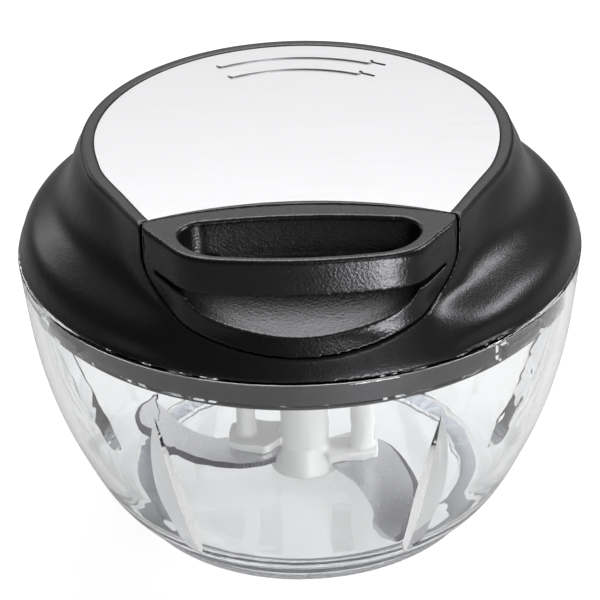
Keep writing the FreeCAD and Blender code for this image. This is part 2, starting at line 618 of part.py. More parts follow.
def make_lid_housing(skin):
    shell = skin.cut(lid_hollow())
    bay = grip_region(GRIP_GAP + BAY_WALL).common(skin)
    bosses = lid_screw_columns(LID_SCREW_R + BOSS_WALL, BASE_TOP_Z, LID_CEILING_Z + JOIN)
    bosses.append(cylinder(AXLE_BOSS_R, AXLE_BOSS_Z, LID_CEILING_Z + JOIN))
    body = shell.fuse([bay] + bosses)
    body = body.cut(grip_region(GRIP_GAP))
    body = body.cut(plate_region(RING_WIDTH, PLATE_Z, LID_TOP_Z + TOOL))
    holes = lid_screw_columns(LID_SCREW_R, BASE_Z, BASE_Z + LID_SCREW_LENGTH)
    holes.append(cylinder(AXLE_R, AXLE_BOTTOM_Z, AXLE_TOP_Z))
    holes.append(rod(EYELET_R, BAY_FRONT_Y - JOIN, BAY_BACK_Y + TOOL, 0.0, CORD_Z))
    return body.cut(holes)


def arc_bar(radius, z0, z1):
    """Curved bar with round ends, centred on +Y."""
    half_w = ARC_WIDTH / 2.0
    bar = sector(radius + half_w, radius - half_w, z0, z1, 180.0, 2.0 * ARC_HALF_ANGLE)
    spots = [polar(radius, 180.0 + sign * ARC_HALF_ANGLE) for sign in (-1.0, 1.0)]
    return fused([bar] + [cylinder(half_w, z0, z1, spot.x, spot.y) for spot in spots])


def make_steel_plate():
    face_z = PLATE_Z + PLATE_T
    radii = [LID_TOP_R - inset for inset in ARC_INSETS]
    plate = plate_region(RING_WIDTH + PLATE_GAP, PLATE_Z, face_z)
    plate = plate.fuse([arc_bar(radius, face_z - PLATE_T / 2.0, face_z + ARC_RISE) for radius in radii])
    slots = []
    for radius in radii:
        half_angle = math.degrees(ARC_SLOT[0] / radius) / 2.0
        azimuth = 180.0 - ARC_HALF_ANGLE - ARC_SLOT_PLACE * half_angle
        slots.append(sector(radius + ARC_SLOT[1] / 2.0, radius - ARC_SLOT[1] / 2.0, PLATE_Z, face_z + TOOL,
                            azimuth, 2.0 * half_angle))
    return plate.removeSplitter().cut(slots)


def make_lid_base():
    disc = cylinder(BASE_R, BASE_Z, BASE_TOP_Z)
    skirt = tube(SKIRT_R, SKIRT_R - SKIRT_WALL, SKIRT_BOTTOM_Z, BASE_Z + JOIN)
    azimuths = [LUG_FIRST_AZ + index * 360.0 / LUG_COUNT for index in range(LUG_COUNT)]
    lugs = [sector(SKIRT_R + LUG_REACH, SKIRT_R - JOIN, LID_LUG_Z, LID_LUG_TOP, azimuth, LUG_SPAN)
            for azimuth in azimuths]
    body = fused([disc, skirt] + lugs)
    holes = lid_screw_columns(LID_SCREW_R, BASE_Z, BASE_TOP_Z)
    holes.append(cylinder(BUSH_R, BASE_Z, BASE_TOP_Z))
    return body.cut(holes)


def headed_screw(spot, head_z, length, radius, head_r, head_t):
    """Screw with a rounded, cross-slotted head below head_z and its shank above it."""
    low_z = head_z - head_t
    head = cylinder(head_r, low_z, head_z)
    rim = [edge for edge in head.Edges if edge.BoundBox.ZMax < head_z - head_t / 2.0]
    head = head.makeFillet(head_t / 2.0, rim)
    slot_half = CROSS_SHARE * head_r / 2.0
    slot = box(CROSS_WIDTH, -slot_half, slot_half, low_z, low_z + head_t / 2.0)
    shank = cylinder(radius, head_z, head_z + length)
    screw = head.cut([slot, turned(slot, 90.0)]).fuse(shank).removeSplitter()
    screw.translate(spot)
    return screw


def make_lid_screws():
    spots = [polar(LID_SCREW_CIRCLE_R, azimuth) for azimuth in LID_SCREW_AZ]
    return Part.makeCompound([headed_screw(spot, BASE_Z, LID_SCREW_LENGTH, LID_SCREW_R, LID_SCREW_HEAD_R,
                                           LID_SCREW_HEAD_T) for spot in spots])


def make_seal_ring():
    inner = SKIRT_R + SEAL_SIDE_GAP
    outer = bowl_inner_radius(SEAL_Z) - SEAL_SIDE_GAP
    ring = tube(outer, inner, SEAL_Z, SEAL_TOP_Z)
    return ring.makeFillet(SEAL_ROUND, ring.Edges)


# ---- reel, spring and axle --------------------------------------------------------------------
def socket_screw_spots():
    return [polar(SOCKET_SCREW_CIRCLE_R, azimuth) for azimuth in SOCKET_SCREW_AZ]


def make_reel():
    lower = cylinder(FLANGE_R, REEL_BOTTOM_Z, GROOVE_LOW_Z)
    drum = cylinder(DRUM_R, GROOVE_LOW_Z, GROOVE_TOP_Z)
    upper = cylinder(FLANGE_R, GROOVE_TOP_Z, CUP_FLOOR_Z)
    cup = tube(CUP_R, CUP_R - CUP_WALL, CUP_FLOOR_Z, CUP_TOP_Z)
    holes = [cylinder(SMALL_SCREW_R, REEL_BOTTOM_Z, REEL_BOTTOM_Z + SMALL_HOLE_DEPTH, spot.x, spot.y)
             for spot in socket_screw_spots()]
    holes.append(cylinder(AXLE_R + RUN_FIT, REEL_BOTTOM_Z, CUP_FLOOR_Z))
    return fused([lower, drum, upper, cup]).cut(holes)


def make_spring_cover():
    return tube(CUP_R, COVER_HOLE_R, CUP_TOP_Z, CUP_TOP_Z + COVER_DISC_T)


def spiral_arcs(first_r, pitch, half_turns, z):
    """Half circles on alternating centres that make a flat spiral from (first_r, 0), and its last point."""
    step = pitch / 2.0
    edges = []
    radius = first_r
    centre = 0.0
    side = 1.0
    for _ in range(half_turns):
        begin = Vector(centre + side * radius, 0, z)
        middle = Vector(centre, side * radius, z)
        end = Vector(centre - side * radius, 0, z)
        edges.append(arc(begin, middle, end))
        centre += side * step
        radius += step
        side = -side
    return edges, end


def make_power_spring():
    first = AXLE_R + SPRING_CORE_GAP
    room = CUP_R - CUP_WALL - SPRING_CUP_GAP - SPRING_STRIP - first
    pitch = room / SPRING_TURNS
    inside, in_end = spiral_arcs(first, pitch, 2 * SPRING_TURNS, SPRING_BOTTOM_Z)
    outside, out_end = spiral_arcs(first + SPRING_STRIP, pitch, 2 * SPRING_TURNS, SPRING_BOTTOM_Z)
    start = line(Vector(first, 0, SPRING_BOTTOM_Z), Vector(first + SPRING_STRIP, 0, SPRING_BOTTOM_Z))
    finish = line(in_end, out_end)
    strip = Part.Face(Part.Wire(Part.__sortEdges__(inside + outside + [start, finish])))
    coil = strip.extrude(Vector(0, 0, SPRING_HEIGHT))
    hook_corner = Vector(0, -SPRING_STRIP, SPRING_BOTTOM_Z)
    hook = Part.makeBox(first + SPRING_STRIP, SPRING_STRIP, SPRING_HEIGHT, hook_corner)
    hook = hook.cut(cylinder(AXLE_R, AXLE_BOTTOM_Z, AXLE_TOP_Z))
    return coil.fuse(hook).removeSplitter()


def make_reel_axle():
    groove = tube(AXLE_R + TOOL, AXLE_R - CLIP_GROOVE, CLIP_Z, CLIP_Z + CLIP_T)
    return cylinder(AXLE_R, AXLE_BOTTOM_Z, AXLE_TOP_Z).cut(groove)


def make_reel_washer():
    return tube(WASHER_R, AXLE_R, WASHER_Z, WASHER_Z + WASHER_T)


def make_axle_clip():
    inner = AXLE_R - CLIP_GROOVE
    ring = tube(WASHER_R, inner, CLIP_Z, CLIP_Z + CLIP_T)
    mouth = box(2.0 * (inner - CLIP_MOUTH_LIP), 0.0, WASHER_R, CLIP_Z, CLIP_Z + CLIP_T)
    return ring.cut(mouth)


# ---- drive socket -----------------------------------------------------------------------------
def make_drive_socket():
    flange = cylinder(SOCKET_FLANGE_R, SOCKET_FLANGE_Z, REEL_BOTTOM_Z)
    sleeve = cylinder(SOCKET_R, SOCKET_BOTTOM_Z, SOCKET_FLANGE_Z)
    body = fused([flange, sleeve]).cut(cylinder(SOCKET_BORE_R, SOCKET_BOTTOM_Z, REEL_BOTTOM_Z))
    azimuths = [index * 360.0 / DOG_COUNT for index in range(DOG_COUNT)]
    dogs = [sector(SOCKET_BORE_R + JOIN, DOG_INNER_R, SOCKET_BOTTOM_Z, SOCKET_BOTTOM_Z + DOG_HEIGHT, azimuth,
                   DOG_SPAN) for azimuth in azimuths]
    holes = [cylinder(SMALL_SCREW_R, SOCKET_FLANGE_Z, REEL_BOTTOM_Z, spot.x, spot.y)
             for spot in socket_screw_spots()]
    return fused([body] + dogs).cut(holes)


def make_socket_screws():
    length = SOCKET_FLANGE_T + SMALL_SCREW_BITE
    screws = [headed_screw(spot, SOCKET_FLANGE_Z, length, SMALL_SCREW_R, SMALL_HEAD_R, SMALL_HEAD_T)
              for spot in socket_screw_spots()]
    return Part.makeCompound(screws)


def make_drive_bush():
    inner = SOCKET_R + RUN_FIT
    ring = tube(BUSH_R, inner, BASE_Z, BASE_TOP_Z)
    collar = tube(BUSH_R + BUSH_COLLAR, inner, BASE_Z - BUSH_COLLAR_T, BASE_Z)
    return fused([ring, collar])


# ---- cord -------------------------------------------------------------------------------------
def run_start():
    """Where the free run would touch the last turn, and its direction to the eyelet's mouth."""
    swing = math.degrees(math.acos(LAST_TURN_R / -CORD_MOUTH_Y))
    tangent = polar(LAST_TURN_R, -swing, CORD_Z)
    return tangent, Vector(0, CORD_MOUTH_Y, CORD_Z) - tangent


def make_cord_winding():
    edges, end = spiral_arcs(FIRST_TURN_R, CORD_PITCH, CORD_HALF_TURNS, CORD_Z)
    circle = Part.Circle(Vector(FIRST_TURN_R, 0, CORD_Z), BACK, CORD_R)
    coil = Part.Wire(edges).makePipeShell([Part.Wire(circle.toShape())], True, False)
    tangent, _ = run_start()
    wanted = math.degrees(math.atan2(tangent.y, tangent.x))
    actual = math.degrees(math.atan2(end.y, end.x))
    return turned(coil, wanted - actual)


def make_cord_run():
    """Free run of cord from just outside the reel's flanges to just before the cord in the eyelet."""
    tangent, way = run_start()
    skipped = math.sqrt((FLANGE_R + RUN_CLEAR) ** 2 - LAST_TURN_R ** 2)
    free = way.Length - skipped - 2.0 * CORD_R
    way.normalize()
    return Part.makeCylinder(CORD_R, free, tangent + way * skipped, way)


def make_cord_tail():
    return rod(CORD_R, COVER_FRONT_Y, CORD_MOUTH_Y - CORD_CLEAR, 0.0, CORD_Z)


def make_cord_knot():
    ball = Part.makeSphere(KNOT_R, Vector(0, COVER_FRONT_Y - KNOT_R, CORD_Z))
    return ball.common(box(SPACE, TOOL_FRONT_Y, COVER_FRONT_Y, CORD_Z - KNOT_R, CORD_Z + KNOT_R))


def make_cord_guide():
    barrel = rod(EYELET_R, BAY_FRONT_Y, BAY_BACK_Y, 0.0, CORD_Z)
    flange = rod(EYELET_FLANGE_R, BAY_BACK_Y, CORD_MOUTH_Y, 0.0, CORD_Z)
    return fused([barrel, flange]).cut(rod(EYELET_HOLE_R, BAY_FRONT_Y, CORD_MOUTH_Y, 0.0, CORD_Z))


# ---- grip -------------------------------------------------------------------------------------
def pocket_wire(z):
    """Plan outline of the finger pocket: an arched back and front, joined by two arcs on each side."""
    def pair(inset, y):
        return Vector(POCKET_HALF_W - inset, y, z), Vector(inset - POCKET_HALF_W, y, z)

    right_side, left_side = pair(0.0, POCKET_BACK_Y - POCKET_WAIST)
    right_back, left_back = pair(POCKET_BACK_END[0], POCKET_BACK_Y - POCKET_BACK_END[1])
    right_back_round, left_back_round = pair(POCKET_BACK_ROUND[0], POCKET_BACK_Y - POCKET_BACK_ROUND[1])
    right_front, left_front = pair(POCKET_FRONT_END[0], POCKET_FRONT_Y + POCKET_FRONT_END[1])
    right_front_round, left_front_round = pair(POCKET_FRONT_ROUND[0], POCKET_FRONT_Y + POCKET_FRONT_ROUND[1])
    edges = [arc(left_back, Vector(0, POCKET_BACK_Y, z), right_back),
             arc(right_back, right_back_round, right_side),
             arc(right_side, right_front_round, right_front),
             arc(right_front, Vector(0, POCKET_FRONT_Y, z), left_front),
             arc(left_front, left_front_round, left_side),
             arc(left_side, left_back_round, left_back)]
    return Part.Wire(edges)


def make_pocket():
    """Upright pocket with a bevelled mouth; the tool stands out above the grip."""
    low_z = BAR_LOWER_Z - POCKET_BELOW_BAR
    shaft = Part.Face(pocket_wire(low_z)).extrude(Vector(0, 0, LID_TOP_Z - low_z))
    narrow = pocket_wire(LID_TOP_Z - POCKET_BEVEL)
    wide = narrow.makeOffset2D(2.0 * POCKET_BEVEL)
    wide.translate(Vector(0, 0, 2.0 * POCKET_BEVEL))
    return shaft.fuse(Part.makeLoft([narrow, wide], True, True))


def make_scoop():
    """Hollow below the bar: a deep middle that meets the pocket, and shallow tips beside it."""
    back_z = SCOOP_LIP_Z + SCOOP_RISE
    slope = SCOOP_RISE / (SCOOP_BACK_Y - NOSE_FRONT_Y)
    front_z = SCOOP_LIP_Z - slope * (NOSE_FRONT_Y - TOOL_FRONT_Y)
    front = half_ellipse_wire(TOOL_FRONT_Y, GRIP_HALF_W - SCOOP_INSET, BAR_LOWER_Z, front_z)
    back = half_ellipse_wire(SCOOP_BACK_Y, GRIP_HALF_W - SCOOP_BACK_INSET, BAR_LOWER_Z, back_z)
    tip_wire = half_ellipse_wire(TOOL_FRONT_Y, GRIP_HALF_W - SCOOP_TIP_INSET, BAR_LOWER_Z,
                                 BAR_LOWER_Z - SCOOP_TIP_DEPTH)
    tips = Part.Face(tip_wire).extrude(Vector(0, SCOOP_BACK_Y - TOOL_FRONT_Y, 0))
    wall = COVER_T + SCOOP_TIP_WALL
    limit = behind_arc(GRIP_BACK_Y - wall, GRIP_BACK_R - wall, GRIP_LOW_Z, LID_TOP_Z)
    return [Part.makeLoft([front, back], True, False), tips.common(limit).cut(envelope(SCOOP_TIP_SINK))]


def rear_cover_region():
    """Slice along the grip's arched back."""
    z0 = GRIP_LOW_Z - TOOL
    z1 = LID_TOP_Z - COVER_DROP
    whole = behind_arc(GRIP_BACK_Y + JOIN, GRIP_BACK_R + JOIN, z0, z1)
    return whole.cut(behind_arc(COVER_FRONT_Y, GRIP_BACK_R - COVER_T, z0, z1))


def make_grip_parts(skin):
    block = skin.common(grip_region())
    region = rear_cover_region()
    head_y = GRIP_BACK_Y - GRIP_BACK_R + math.sqrt(GRIP_BACK_R ** 2 - HANDLE_SCREW_X ** 2) - HANDLE_SCREW_SINK
    screws = []
    wells = []
    for x in (-HANDLE_SCREW_X, HANDLE_SCREW_X):
        shank = rod(SMALL_SCREW_R, head_y - HANDLE_SCREW_LENGTH, head_y, x, HANDLE_SCREW_Z)
        head = rod(HANDLE_HEAD_R, head_y, head_y + HANDLE_HEAD_T, x, HANDLE_SCREW_Z)
        screws.append(shank.fuse(head))
        wells.append(rod(HANDLE_HEAD_R, head_y, head_y + TOOL, x, HANDLE_SCREW_Z))
    room = KNOT_R + KNOT_CLEAR
    knot_room = box(2.0 * room, COVER_FRONT_Y - 2.0 * room, COVER_FRONT_Y + JOIN, CORD_Z - room,
                    CORD_Z + room)
    grip = block.cut(region).cut([make_pocket(), knot_room] + make_scoop() + screws)
    cord_hole = rod(CORD_R + CORD_FIT, COVER_FRONT_Y - JOIN, GRIP_BACK_Y + JOIN, 0.0, CORD_Z)
    cover = block.common(region).cut([cord_hole] + screws + wells)
    return grip, cover, Part.makeCompound(screws)


# ---- blade insert -----------------------------------------------------------------------------
def arm(z0, z1):
    """Arm along +X with a rounded square end."""
    bar = Part.makeBox(ARM_REACH, ARM_WIDTH, z1 - z0, Vector(0, -ARM_WIDTH / 2.0, z0))
    end = Part.makeBox(ARM_END, ARM_END, z1 - z0, Vector(ARM_REACH - ARM_END / 2.0, -ARM_END / 2.0, z0))
    corners = [edge for edge in end.Edges if edge.BoundBox.ZLength > (z1 - z0) / 2.0]
    return bar.fuse(end.makeFillet(ARM_END_ROUND, corners))


def lower_arm(plan, z0, z1):
    """Arm with an angular plan; the corners outside the shaft are rounded."""
    corners = [Vector(x, y, z0) for x, y in plan]
    plate = Part.Face(Part.makePolygon(corners + corners[:1])).extrude(Vector(0, 0, z1 - z0))
    edges = []
    for edge in plate.Edges:
        middle = edge.BoundBox.Center
        upright = edge.BoundBox.ZLength > (z1 - z0) / 2.0
        if upright and math.hypot(middle.x, middle.y) > SHAFT_R + FOOT_FLARE:
            edges.append(edge)
    return plate.makeFillet(LOWER_ARM_ROUND, edges)


def make_carrier():
    pieces = [cylinder(SHAFT_R, SHAFT_FOOT_Z, SHAFT_TOP_Z),
              cylinder(SPLINE_ROOT_R, SHAFT_TOP_Z - JOIN, SPLINE_TOP_Z),
              Part.makeCone(SHAFT_R + FOOT_FLARE, SHAFT_R, FOOT_FLARE_HEIGHT, Vector(0, 0, SHAFT_FOOT_Z), UP)]
    for index in range(DOG_COUNT):
        azimuth = (index + 0.5) * 360.0 / DOG_COUNT
        pieces.append(sector(SHAFT_R, SPLINE_ROOT_R - JOIN, SHAFT_TOP_Z - JOIN, SPLINE_TOP_Z, azimuth,
                             DOG_SPAN))
    sides = ((SHORT_ARM, LOWER_ARM_Z, SHORT_POST_R, 0.0), (LONG_ARM, UPPER_ARM_Z, LONG_POST_R, 180.0))
    for plan, arm_z, post_r, half_turn in sides:
        side = [lower_arm(plan, arm_z, arm_z + ARM_T), arm(WEB_Z, WEB_Z + WEB_T),
                cylinder(post_r, arm_z, WEB_Z + WEB_T, ARM_REACH)]
        pieces += [turned(piece, half_turn) for piece in side]
    bore = cylinder(BUSH_FIT_R + RUN_FIT, SHAFT_FOOT_Z, BUSH_TOP_Z + BUSH_CAP_GAP)
    return fused(pieces).cut(bore)


def blade(edge, back, root, top_z):
    """Flat blade under an arm; the cutting edge comes first in its outline."""
    reach = rib_crest_radius(UPPER_ARM_Z - BLADE_T) - BLADE_CLEAR

    def at(point):
        return Vector(point[0] * reach, point[1] * reach, top_z - BLADE_T)

    chain = [at(point) for point in [back[-1]] + root + [edge[0]]]
    edges = [spline([at(point) for point in edge]), line(at(edge[-1]), at(back[0])),
             spline([at(point) for point in back])]
    edges += [line(first, second) for first, second in zip(chain, chain[1:])]
    return Part.Face(Part.Wire(edges)).extrude(Vector(0, 0, BLADE_T))


def make_blades(carrier):
    hub = cylinder(SHAFT_R, SHAFT_FOOT_Z, SHAFT_TOP_Z).fuse(carrier)
    short = blade(SHORT_EDGE, SHORT_BACK, SHORT_ROOT, LOWER_ARM_Z).cut(hub)
    long = turned(blade(LONG_EDGE, LONG_BACK, LONG_ROOT, UPPER_ARM_Z), 180.0).cut(hub)
    return short, long


def make_shaft_bush():
    barrel = cylinder(BUSH_FIT_R, BUSH_BOTTOM_Z, BUSH_TOP_Z)
    return barrel.cut(cylinder(PIN_R + RUN_FIT, BUSH_BOTTOM_Z, PIN_TOP_Z + BUSH_CAP_GAP))


# ---- build ------------------------------------------------------------------------------------
def main():
    os.makedirs("parts", exist_ok=True)
    write("bowl", make_bowl())
    write("foot_ring", make_foot_ring())
    write("bowl_pin", make_bowl_pin())
    write("seal_ring", make_seal_ring())
    skin = rounded_envelope()
    write("lid_housing", make_lid_housing(skin))
    write("steel_plate", make_steel_plate())
    write("lid_base", make_lid_base())
    write("lid_screws", make_lid_screws())
    write("drive_bush", make_drive_bush())
    write("reel_axle", make_reel_axle())
    write("reel", make_reel())
    write("spring_cover", make_spring_cover())
    write("power_spring", make_power_spring())
    write("reel_washer", make_reel_washer())
    write("axle_clip", make_axle_clip())
    write("drive_socket", make_drive_socket())
    write("socket_screws", make_socket_screws())
    write("cord_guide", make_cord_guide())
    write("cord_winding", make_cord_winding())
    write("cord_run", make_cord_run())
    write("cord_tail", make_cord_tail())
    write("cord_knot", make_cord_knot())
    grip, cover, screws = make_grip_parts(skin)
    write("handle_grip", grip)
    write("handle_back", cover)
    write("handle_screws", screws)
    carrier = make_carrier()
    short, long = make_blades(carrier)
    write("blade_carrier", carrier)
    write("short_blade", short)
    write("long_blade", long)
    write("shaft_bush", make_shaft_bush())


main()
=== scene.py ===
"""Looks of the pull-cord food chopper: clear bowl, black moulded lid with a brushed plate, white insert.

Metres, in the frame of the CAD model: +Z up, the grip points towards -Y.
"""
import math

import bmesh
import bpy
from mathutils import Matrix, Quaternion, Vector


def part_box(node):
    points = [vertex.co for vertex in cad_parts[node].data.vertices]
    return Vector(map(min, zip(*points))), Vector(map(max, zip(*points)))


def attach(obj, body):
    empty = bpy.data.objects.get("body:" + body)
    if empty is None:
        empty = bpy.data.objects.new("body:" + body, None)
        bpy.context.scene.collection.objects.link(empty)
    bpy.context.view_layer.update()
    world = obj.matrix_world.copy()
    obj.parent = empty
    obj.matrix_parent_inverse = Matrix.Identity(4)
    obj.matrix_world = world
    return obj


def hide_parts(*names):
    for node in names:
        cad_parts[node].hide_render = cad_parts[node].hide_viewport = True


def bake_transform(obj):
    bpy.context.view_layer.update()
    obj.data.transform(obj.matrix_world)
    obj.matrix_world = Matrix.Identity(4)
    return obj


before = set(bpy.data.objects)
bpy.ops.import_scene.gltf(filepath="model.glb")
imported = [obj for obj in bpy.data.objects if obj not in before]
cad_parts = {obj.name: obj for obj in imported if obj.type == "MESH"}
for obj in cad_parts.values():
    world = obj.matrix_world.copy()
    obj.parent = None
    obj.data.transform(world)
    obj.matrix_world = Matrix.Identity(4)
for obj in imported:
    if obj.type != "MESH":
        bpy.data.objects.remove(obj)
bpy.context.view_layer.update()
MM = 0.001

# ---- camera -----------------------------------------------------------------------------------
CAMERA_TARGET = (-0.27 * MM, 0.0, 50.46 * MM)
CAMERA_DISTANCE = 600 * MM
CAMERA_ELEVATION = 30.68        # degrees above the horizon
CAMERA_ROLL = -1.525            # degrees about the line of sight
CAMERA_LENS = 152.4             # in mm, as is the sensor's width
CAMERA_SENSOR = 36.0
CAMERA_CLIP = 10 * MM

# ---- world: white for the camera; reflections and clear plastic see a dome, darker near the horizon ----
WHITE = (1.0, 1.0, 1.0, 1.0)
WORLD_FILL = 0.15               # level for diffuse rays
REFLECTED_LEAN = 0.5            # how much the bright part of the reflected dome leans to the back
REFLECTED_DOME = (0.55, 0.85, 0.1, 0.25)    # two heights of a direction, the level below and above them
REFRACTED_DOME = (0.0, 0.4, 0.85, 1.1)

# ---- floor: its glow and the lamps together make it white round the object ------------------------
FLOOR_HALF = 3.0
FLOOR_COLOUR = 0.3
FLOOR_GLOW = {"Is Camera Ray": 0.83, "Is Transmission Ray": 0.6, "Is Glossy Ray": 0.1}

# ---- lamps --------------------------------------------------------------------------------------
LAMP_AIM = (0.0, 0.0, 60 * MM)

# ---- light paths: clear plastic reflects light many times inside its wall ------------------------
ALL_BOUNCES = 24
GLOSSY_BOUNCES = 16

# ---- materials ----------------------------------------------------------------------------------
BLUE_TINGE = 1.08               # how much stronger the blue of black plastic is than its red and green
GRAIN_CELL = 0.55 * MM          # leather grain of the black plastic
GRAIN_PORE = 0.3 * MM
PORE_DEPTH = 0.6                # share of the grain's depth
WALL_SHADE = 0.93               # share of a lamp's light that a clear surface lets through
BRAID_SCALE = 420.0             # strands of the cord, as the wave texture counts them

# ---- moulded edges: size of the remesh, rounds of smoothing --------------------------------------
LID_MESH = (0.45 * MM, 6)
GRIP_MESH = (0.3 * MM, 5)
CARRIER_MESH = (0.3 * MM, 4)
SMOOTHING = 0.5                 # share of the way to the neighbours' middle in each round
LID_CRISP_BAND = 0.5 * MM       # up to this far above its lower edge the lid stays sharp
LID_SOFT_BAND = 2.0 * MM        # from this far above it the lid is fully smoothed
WELD = 0.002 * MM               # vertices closer than this become one

# ---- blades -------------------------------------------------------------------------------------
CORNER_TURN = math.radians(25)  # a blade's outline has a corner where it turns by more than this
FACE_TOLERANCE = 0.1 * MM       # a face this near to the top of a blade is part of its flat top
TOOTH_PITCH = 0.8 * MM
TOOTH_DEPTH = 0.25 * MM
BEVEL_NARROW = 0.7 * MM         # width of the ground bevel at the heel
BEVEL_WIDE = 1.5 * MM
BEVEL_GROWTH = 0.4              # share of the edge after which the bevel has its full width
EDGE_THICKNESS = 0.2 * MM

# ---- cord ---------------------------------------------------------------------------------------
CORD_RINGS = 160
CORD_SIDES = 16


# ---- node trees ---------------------------------------------------------------------------------
def feed(tree, socket, value):
    """Links a value that is a socket, and sets any other value."""
    if isinstance(value, bpy.types.NodeSocket):
        tree.links.new(value, socket)
    else:
        socket.default_value = value


def combined(tree, operation, first, second):
    """The result of a Math node."""
    node = tree.nodes.new("ShaderNodeMath")
    node.operation = operation
    feed(tree, node.inputs[0], first)
    feed(tree, node.inputs[1], second)
    return node.outputs[0]


def level_by_ray(tree, levels):
    """A level of its own for each kind of ray that levels names, and 0 for the others."""
    path = tree.nodes.new("ShaderNodeLightPath")
    total = 0.0
    for ray, level in levels.items():
        share = combined(tree, "MULTIPLY", path.outputs[ray], level)
        total = combined(tree, "MAXIMUM", share, total)
    return total


def dome(tree, limits, lean=0.0):
    """A level that rises with the height of the direction; with a lean it rises towards the back as well."""
    direction = tree.nodes.new("ShaderNodeTexCoord")
    part = tree.nodes.new("ShaderNodeSeparateXYZ")
    tree.links.new(direction.outputs["Generated"], part.inputs["Vector"])
    leaning = combined(tree, "MULTIPLY", part.outputs["Y"], lean)
    rise = tree.nodes.new("ShaderNodeMapRange")
    rise.interpolation_type = "SMOOTHSTEP"
    feed(tree, rise.inputs["Value"], combined(tree, "ADD", part.outputs["Z"], leaning))
    for name, value in zip(("From Min", "From Max", "To Min", "To Max"), limits):
        feed(tree, rise.inputs[name], value)
    return rise.outputs["Result"]


# ---- materials --------------------------------------------------------------------------------
class Look:
    """A Principled material with short calls for the nodes behind it."""

    def __init__(self, name, colour, roughness, metallic=0.0, **inputs):
        self.material = bpy.data.materials.new(name)
        self.material.use_nodes = True
        self.tree = self.material.node_tree
        self.shader = self.tree.nodes["Principled BSDF"]
        self.colour = colour
        self.put("Base Color", (*colour, 1.0))
        self.put("Roughness", roughness)
        self.put("Metallic", metallic)
        for key, value in inputs.items():
            self.put(key.replace("_", " "), value)

    def put(self, name, value):
        """Feeds an input of the Principled shader."""
        feed(self.tree, self.shader.inputs[name], value)

    def node(self, kind, **inputs):
        """A new node with values or links at its inputs."""
        node = self.tree.nodes.new("ShaderNode" + kind)
        for key, value in inputs.items():
            feed(self.tree, node.inputs[key.replace("_", " ")], value)
        return node

    def place(self, scale=(1.0, 1.0, 1.0)):
        """Object coordinates stretched by scale."""
        where = self.node("TexCoord")
        return self.node("Mapping", Vector=where.outputs["Object"], Scale=scale).outputs["Vector"]

    def noise(self, size, detail=3.0, stretch=(1.0, 1.0, 1.0)):
        """Noise whose features are about size metres, longer along an axis with a small stretch."""
        where = self.place(stretch)
        return self.node("TexNoise", Vector=where, Scale=1.0 / size, Detail=detail).outputs["Fac"]

    def cells(self, size):
        """Rounded cells about size metres across."""
        texture = self.node("TexVoronoi", Vector=self.place(), Scale=1.0 / size)
        texture.feature = "SMOOTH_F1"
        return texture.outputs["Distance"]

    def vary_roughness(self, value, low, high):
        """The roughness runs from low to high with the value."""
        span = self.node("MapRange", Value=value, To_Min=low, To_Max=high)
        self.put("Roughness", span.outputs["Result"])

    def vary_colour(self, value, darkest, lightest):
        """The material's colour times darkest to lightest."""
        ramp = self.node("ValToRGB", Fac=value)
        for stop, share in zip(ramp.color_ramp.elements, (darkest, lightest)):
            stop.color = (*[channel * share for channel in self.colour], 1.0)
        self.put("Base Color", ramp.outputs["Color"])

    def bump(self, height, depth):
        """Relief depth metres deep, on top of the relief that is there."""
        bump = self.node("Bump", Height=height, Distance=depth, Strength=1.0)
        normal = self.shader.inputs["Normal"]
        if normal.is_linked:
            feed(self.tree, bump.inputs["Normal"], normal.links[0].from_socket)
        self.put("Normal", bump.outputs["Normal"])


def black_plastic(name, shade, roughness, grain):
    """Black plastic with a leather grain of this depth."""
    look = Look(name, (shade, shade, shade * BLUE_TINGE), roughness,
                Specular_IOR_Level=0.42, Specular_Tint=(0.97, 0.95, 1.0, 1.0))
    look.vary_colour(look.noise(9 * MM), darkest=0.8, lightest=1.25)
    look.vary_roughness(look.noise(2.5 * MM), low=roughness - 0.04, high=roughness + 0.05)
    look.bump(look.cells(GRAIN_CELL), depth=grain)
    look.bump(look.noise(GRAIN_PORE, detail=2.0), depth=grain * PORE_DEPTH)
    return look.material


def brushed_plate():
    """Steel brushed from left to right."""
    look = Look("brushed_plate", (0.6, 0.6, 0.61), roughness=0.34, metallic=1.0)
    streaks = look.noise(0.16 * MM, detail=4.0, stretch=(0.012, 1.0, 1.0))
    look.vary_roughness(streaks, low=0.27, high=0.43)
    look.vary_colour(look.noise(0.3 * MM, stretch=(0.01, 1.0, 1.0)), darkest=0.93, lightest=1.04)
    look.bump(streaks, depth=0.004 * MM)
    return look.material


def ground_steel():
    """Blade steel with faint grinding marks."""
    look = Look("blade_steel", (0.66, 0.66, 0.68), roughness=0.28, metallic=1.0)
    streaks = look.noise(0.2 * MM, stretch=(1.0, 0.05, 1.0))
    look.vary_roughness(streaks, low=0.24, high=0.34)
    look.vary_colour(look.noise(6 * MM), darkest=0.9, lightest=1.05)
    look.bump(streaks, depth=0.0006 * MM)
    return look.material


def bevel_steel():
    """The steel of the ground bevels: coarser, with a dark colour that is painted shade for the darker
    reflection of the sloped bevel.
    """
    # the dark colour is painted shade, not the steel's own colour; the rougher finish and bump are real
    # grinding
    look = Look("bevel_steel", (0.14, 0.14, 0.16), roughness=0.35, metallic=1.0)
    look.vary_roughness(look.noise(0.3 * MM), low=0.28, high=0.45)
    look.bump(look.noise(0.2 * MM), depth=0.006 * MM)
    return look.material


def plain_steel(name, roughness):
    """Steel of the small parts."""
    look = Look(name, (0.58, 0.58, 0.6), roughness, metallic=1.0)
    look.vary_roughness(look.noise(0.8 * MM), low=roughness - 0.07, high=roughness + 0.1)
    look.bump(look.noise(0.25 * MM), depth=0.003 * MM)
    return look.material


